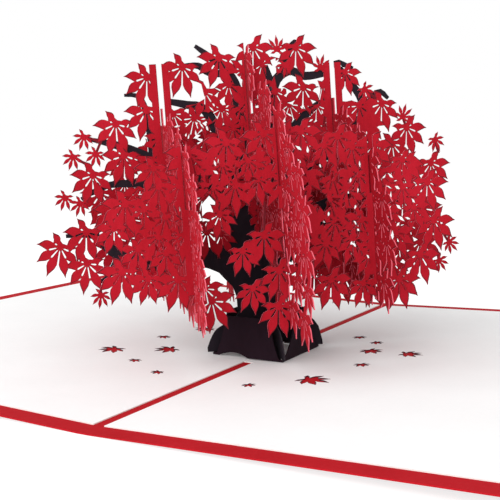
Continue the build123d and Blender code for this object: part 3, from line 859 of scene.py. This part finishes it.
# Trunk and branches: across, up and width along each branch
WIDE_LIMBS = (
    (
        (-8, 27, 8), (-17, 29.5, 4.5), (-27, 28.5, 3.2), (-36, 31, 3), (-42, 34.5, 3), (-46.5, 39, 2),
        (-54, 39.6, 1),
    ),
    ((-40, 33, 2), (-44, 27, 1.4), (-47, 26.4, 1)),
    ((-46, 38.5, 1.6), (-44.5, 43.8, 1)),
    (
        (-1, 30, 8), (-5, 41, 6), (-11, 47.5, 4.5), (-18, 54, 3.6), (-28, 58, 3.2), (-37, 62.5, 2.4),
        (-45, 65, 1),
    ),
    ((-12, 48, 3), (-20, 51, 2.4), (-30, 51.8, 2.4), (-41, 52.4, 1.8), (-49, 49.2, 1)),
    ((-28.5, 57.5, 2.4), (-28.8, 66, 2), (-30.5, 75, 1.5), (-35, 76.2, 0.8)),
    ((-7, 50, 4), (-9, 62, 3.4), (-13, 70.9, 2.6), (-18, 72.6, 2.2), (-23, 73.8, 1.6)),
    ((-4, 46, 4), (-3.5, 62, 3.6), (-3.2, 74, 3.2), (-5.6, 80.6, 2.6), (-11, 85.6, 1.8), (-14.5, 88.4, 1)),
    ((-6, 80.4, 2), (-11, 81, 2), (-14, 83, 1.8), (-19, 83.2, 1)),
    ((3, 46, 4), (4.5, 60, 3.4), (7.2, 76, 3), (12, 80.2, 2.4), (16.8, 78.6, 2.4), (22.8, 79.1, 2)),
    ((7, 76, 2.4), (5, 82, 2)),
    ((9, 78, 2), (13.6, 87.6, 1.6), (16, 87.4, 1)),
    ((4, 52, 3.4), (13, 64.7, 2.8), (18, 69, 2.2), (22.4, 71.8, 1.2)),
    ((2, 36, 8), (9, 47, 4.6), (17, 54, 3.6), (25, 57.4, 3.2), (32, 64, 3), (38.5, 72.6, 2), (42, 70.8, 1)),
    ((33, 65, 2.4), (33.6, 71, 2.4), (30, 76.6, 2), (26.4, 81.8, 2), (31.5, 80, 1)),
    ((6, 28, 8), (13, 37, 4.6), (21.5, 41.6, 3.6), (32, 42.6, 2.8), (42, 40.6, 2), (50, 43, 1)),
    ((31, 42.6, 2.4), (40, 50, 2), (49, 53, 1)),
    ((14, 37.6, 3), (25, 33, 2.4), (37, 30.4, 1.8), (46, 26, 1)),
)
CROSS_LIMBS = (
    ((0, 34, 9), (8, 43, 5), (16, 50, 4), (25, 55.4, 3.4), (31, 57.2, 2.4), (37, 60, 1)),
    ((27, 55.6, 2.4), (33, 50.4, 2), (38, 43, 1.6), (42, 41, 1)),
    ((2, 42, 5), (5, 56, 4), (9, 66, 3), (15, 73, 1.8), (21, 75, 0.9)),
    ((5, 55, 3), (15, 59, 2.6), (22, 65, 1.6), (28, 66, 0.9)),
)

# One side of the trunk, from the root upwards, and the shoulder under the lowest left limb
ROOT_PROFILE = (
    (16.4, 6.0), (14.2, 9.0), (9.6, 11.0), (6.9, 14.0), (6.0, 20.0), (8.4, 28.0), (9.0, 36.0), (5.0, 50.0),
)
SHOULDER = (
    (-5, 13), (-7.7, 13.7), (-7.7, 17.5), (-8.6, 20.5), (-11.3, 23.7), (-14.3, 27.5), (-16.2, 30.5),
    (-15.8, 32.5), (-6, 33),
)
WIDE_FORK = 54.0      # height where the two sides of the trunk meet
CROSS_FORK = 58.0
FOOT = 12.5           # middle of the trunk to where a root leaves the page
FOOT_WIDTH = 1.5
ROOT_REACH = 17.3     # middle of the trunk to the tip of a root, over the root box
ROOT_TIP = 1.3
ROOT_ARCH = (6.0, 3.2)
BOX_HALF_X = 11.15
CORNER_WEB = 0.6      # what is left of the root box below a notch
FOOT_CLEAR = 0.05
CURVE_STEPS = 4


def between(a, b, c, d, t):
    """A value between b and c on a smooth curve through all four."""
    bend = (2 * a - 5 * b + 4 * c - d) * t * t
    return 0.5 * (2 * b + (c - a) * t + bend + (3 * b - a - 3 * c + d) * t ** 3)


def curve(points):
    """A smooth line through points with any number of values each."""
    made = []
    last = len(points) - 1
    for k in range(last):
        p0, p1, p2, p3 = (points[min(max(k + i, 0), last)] for i in (-1, 0, 1, 2))
        for j in range(CURVE_STEPS):
            t = j / CURVE_STEPS
            made.append(tuple(between(*values, t) for values in zip(p0, p1, p2, p3)))
    return made + [tuple(points[-1])]


def limb(stations):
    """The outline of a branch that tapers along its stations."""
    line = curve(stations)
    left = []
    right = []
    for k, (x, y, width) in enumerate(line):
        before = line[max(k - 1, 0)]
        after = line[min(k + 1, len(line) - 1)]
        run = math.atan2(after[1] - before[1], after[0] - before[0])
        left.append((x - width / 2 * math.sin(run), y + width / 2 * math.cos(run)))
        right.append((x + width / 2 * math.sin(run), y - width / 2 * math.cos(run)))
    return left + right[::-1]


def page_top(x):
    """Height of the liner's face at a distance from the fold."""
    return COVER + LINER + math.tan(PAGE_TILT) * max(abs(x) - SPINE, 0)


def trunk_half(sign, rise):
    """One side of the trunk, from the foot, which follows the page below the leaning sheet, upwards."""
    web_top = page_top(abs(TREE_FOOT.x) + BOX_HALF_X) + CORNER_WEB
    points = []
    for across, z in (
        (FOOT, page_top(TREE_FOOT.x + DIAGONAL * sign * FOOT) + FOOT_CLEAR),
        (FOOT + FOOT_WIDTH, web_top + FOOT_CLEAR),
        (ROOT_REACH, web_top + FOOT_CLEAR),
        (ROOT_REACH, web_top + ROOT_TIP),
    ):
        points.append((sign * across, (z - sign * across * rise) / math.cos(LEAN)))
    return points + [(sign * across, up) for across, up in curve(ROOT_PROFILE)]


def trunk_cutter(rise, fork, limbs):
    cutter = Cutter()
    left = trunk_half(-1, rise)
    right = trunk_half(1, rise)
    arch_x, arch_y = ROOT_ARCH
    cutter.paper(left + [(0, fork)] + right[::-1] + [(arch_x, arch_y), (-arch_x, arch_y)])
    for stations in limbs:
        cutter.paper(limb(stations))
    return cutter


def finish_trunk(name, node, cutter, place):
    finish_sheet(name, node, cutter, place, TRUNK, DARK_MATERIALS)


wide_trunk = trunk_cutter(math.sin(LEAN), WIDE_FORK, WIDE_LIMBS)
wide_trunk.paper(SHOULDER)
cut_slots(wide_trunk, wide_step=0)
finish_trunk("trunk_a_cut", "trunk_a", wide_trunk, wide_place(0, -TRUNK))

far_limbs = tuple(tuple((-across, up, width) for across, up, width in stations) for stations in CROSS_LIMBS)
cross_trunk = trunk_cutter(0.0, CROSS_FORK, CROSS_LIMBS + far_limbs)
cut_slots(cross_trunk, cross_step=0)
finish_trunk("trunk_b_cut", "trunk_b", cross_trunk, cross_place(0, -TRUNK))


# Liner: half its width and depth, the ends of the bridge over the fold, and the width of the burnt band
# round the leaves that are cut out of it, before their size. The leaves are X, Y, size and turn
PAGE = (121.4, 83.4)
BRIDGE = (-17.5, 22.0)
BURNT_BAND = 0.16
ON_FOLD = 1e-4
FALLEN = (
    (-40.5, -24.7, 0.62, 10), (-27.7, -32.4, 0.30, 40), (-15.0, -39.4, 0.30, 15), (-26.6, -16.2, 0.60, -15),
    (-37.8, -4.0, 0.34, 60), (-32.9, 13.1, 0.52, 20), (12.5, -39.7, 0.30, 35), (23.9, -29.0, 0.72, 65),
    (30.0, -8.6, 0.36, 20), (25.4, 8.7, 0.54, 30), (36.5, 7.9, 0.56, 75), (15.0, 25.8, 0.34, 10),
    (22.5, 19.7, 0.34, 50),
)


def page_place(x, y, depth):
    """Where a point of the flat liner lies on the tilted pages."""
    height = COVER + depth
    reach = abs(x) - SPINE
    if reach < ON_FOLD:
        return Vector((x * (1 - height * math.tan(PAGE_TILT / 2) / SPINE), y, height))
    across = SPINE + reach * math.cos(PAGE_TILT) - height * math.sin(PAGE_TILT)
    return Vector((math.copysign(across, x), y, reach * math.sin(PAGE_TILT) + height * math.cos(PAGE_TILT)))


liner = Cutter()
for sheet in (
    rect(-PAGE[0], -SPINE, -PAGE[1], PAGE[1]), rect(-SPINE, SPINE, *BRIDGE),
    rect(SPINE, PAGE[0], -PAGE[1], PAGE[1]),
):
    liner.add("paper", sheet)
    liner.add("core", sheet)
burnt = leaf_outline(LOBES, -BURNT_BAND)
for x, y, size, turn in FALLEN:
    side = -1 if x < 0 else 1
    liner.add("opening", placed(LEAF[0], x, y, size, turn * side, side))
    liner.add("opening_rim", placed(burnt, x, y, size, turn * side, side))
finish_sheet("liner_cut", "liner", liner, page_place, LINER, LINER_MATERIALS)


# Floor, light and camera, in metres and watts
WHITE = (1.0, 1.0, 1.0, 1.0)
FLOOR_REACH = 6.0
FLOOR_WHITE = (0.93, 0.93, 0.93, 1.0)
FLOOR_GLOW = 1.12
GLOW_SHARE = 0.7
WORLD_LIGHT = 0.80
WORLD_SEEN = 1.0
LAMPS_AIM = Vector((0, 0, 0.04))
SENSOR = 36.0
NEAR_CLIP = 0.01


def plain_floor():
    """A pale floor that keeps the shadow, and glows to the camera alone."""
    mesh = bpy.data.meshes.new("floor")
    corners = [(x, y, 0) for x, y in rect(-FLOOR_REACH, FLOOR_REACH, -FLOOR_REACH, FLOOR_REACH)]
    mesh.from_pydata(corners, [], [(0, 1, 2, 3)])
    obj = bpy.data.objects.new("floor", mesh)
    bpy.context.scene.collection.objects.link(obj)
    material = bpy.data.materials.new("floor")
    material.use_nodes = True
    nodes = material.node_tree.nodes
    links = material.node_tree.links
    nodes.clear()
    out = nodes.new("ShaderNodeOutputMaterial")
    paint = nodes.new("ShaderNodeBsdfDiffuse")
    paint.inputs["Color"].default_value = FLOOR_WHITE
    glow = nodes.new("ShaderNodeEmission")
    glow.inputs["Color"].default_value = WHITE
    glow.inputs["Strength"].default_value = FLOOR_GLOW
    path = nodes.new("ShaderNodeLightPath")
    share = nodes.new("ShaderNodeMath")
    share.operation = "MULTIPLY"
    share.inputs[1].default_value = GLOW_SHARE
    mix = nodes.new("ShaderNodeMixShader")
    links.new(path.outputs["Is Camera Ray"], share.inputs[0])
    links.new(share.outputs["Value"], mix.inputs["Fac"])
    links.new(paint.outputs["BSDF"], mix.inputs[1])
    links.new(glow.outputs["Emission"], mix.inputs[2])
    links.new(mix.outputs["Shader"], out.inputs["Surface"])
    mesh.materials.append(material)


def background(nodes, strength):
    node = nodes.new("ShaderNodeBackground")
    node.inputs["Color"].default_value = WHITE
    node.inputs["Strength"].default_value = strength
    return node


def world_light():
    """Even light from all round, seen as plain white."""
    world = bpy.data.worlds.new("studio")
    bpy.context.scene.world = world
    world.use_nodes = True
    nodes = world.node_tree.nodes
    links = world.node_tree.links
    nodes.clear()
    out = nodes.new("ShaderNodeOutputWorld")
    lit = background(nodes, WORLD_LIGHT)
    seen = background(nodes, WORLD_SEEN)
    path = nodes.new("ShaderNodeLightPath")
    either = nodes.new("ShaderNodeMath")
    either.operation = "MAXIMUM"
    mix = nodes.new("ShaderNodeMixShader")
    links.new(path.outputs["Is Camera Ray"], either.inputs[0])
    links.new(path.outputs["Is Glossy Ray"], either.inputs[1])
    links.new(either.outputs["Value"], mix.inputs["Fac"])
    links.new(lit.outputs["Background"], mix.inputs[1])
    links.new(seen.outputs["Background"], mix.inputs[2])
    links.new(mix.outputs["Shader"], out.inputs["Surface"])


def soft_lamp(name, place, size, power):
    lamp = bpy.data.lights.new(name, "AREA")
    lamp.size = size
    lamp.energy = power
    obj = bpy.data.objects.new(name, lamp)
    bpy.context.scene.collection.objects.link(obj)
    obj.location = place
    obj.rotation_euler = (LAMPS_AIM - Vector(place)).to_track_quat("-Z", "Y").to_euler()


def photo_camera():
    camera = bpy.data.cameras.new("camera")
    camera.sensor_width = SENSOR
    camera.lens = LENS
    camera.clip_start = NEAR_CLIP
    obj = bpy.data.objects.new("camera", camera)
    bpy.context.scene.collection.objects.link(obj)
    flat = math.cos(EYE_ELEVATION)
    back = Vector((
        math.sin(EYE_AZIMUTH) * flat,
        -math.cos(EYE_AZIMUTH) * flat,
        math.sin(EYE_ELEVATION),
    ))
    right = (-back).cross(Vector((0, 0, 1))).normalized()
    up = right.cross(-back)
    c, s = math.cos(EYE_ROLL), math.sin(EYE_ROLL)
    x_axis = right * c + up * s
    y_axis = up * c - right * s
    turn = Matrix((x_axis, y_axis, back)).transposed().to_4x4()
    obj.matrix_world = Matrix.Translation(EYE * MM) @ turn
    bpy.context.scene.camera = obj


plain_floor()
world_light()
soft_lamp("key", (-0.75, -0.75, 0.6), size=0.8, power=5.0)
soft_lamp("fill", (0.7, -0.65, 0.6), size=0.9, power=2.0)
soft_lamp("front", (0.15, -1.15, 0.65), size=1.0, power=10.0)
photo_camera()
bpy.context.scene.view_settings.view_transform = "Standard"
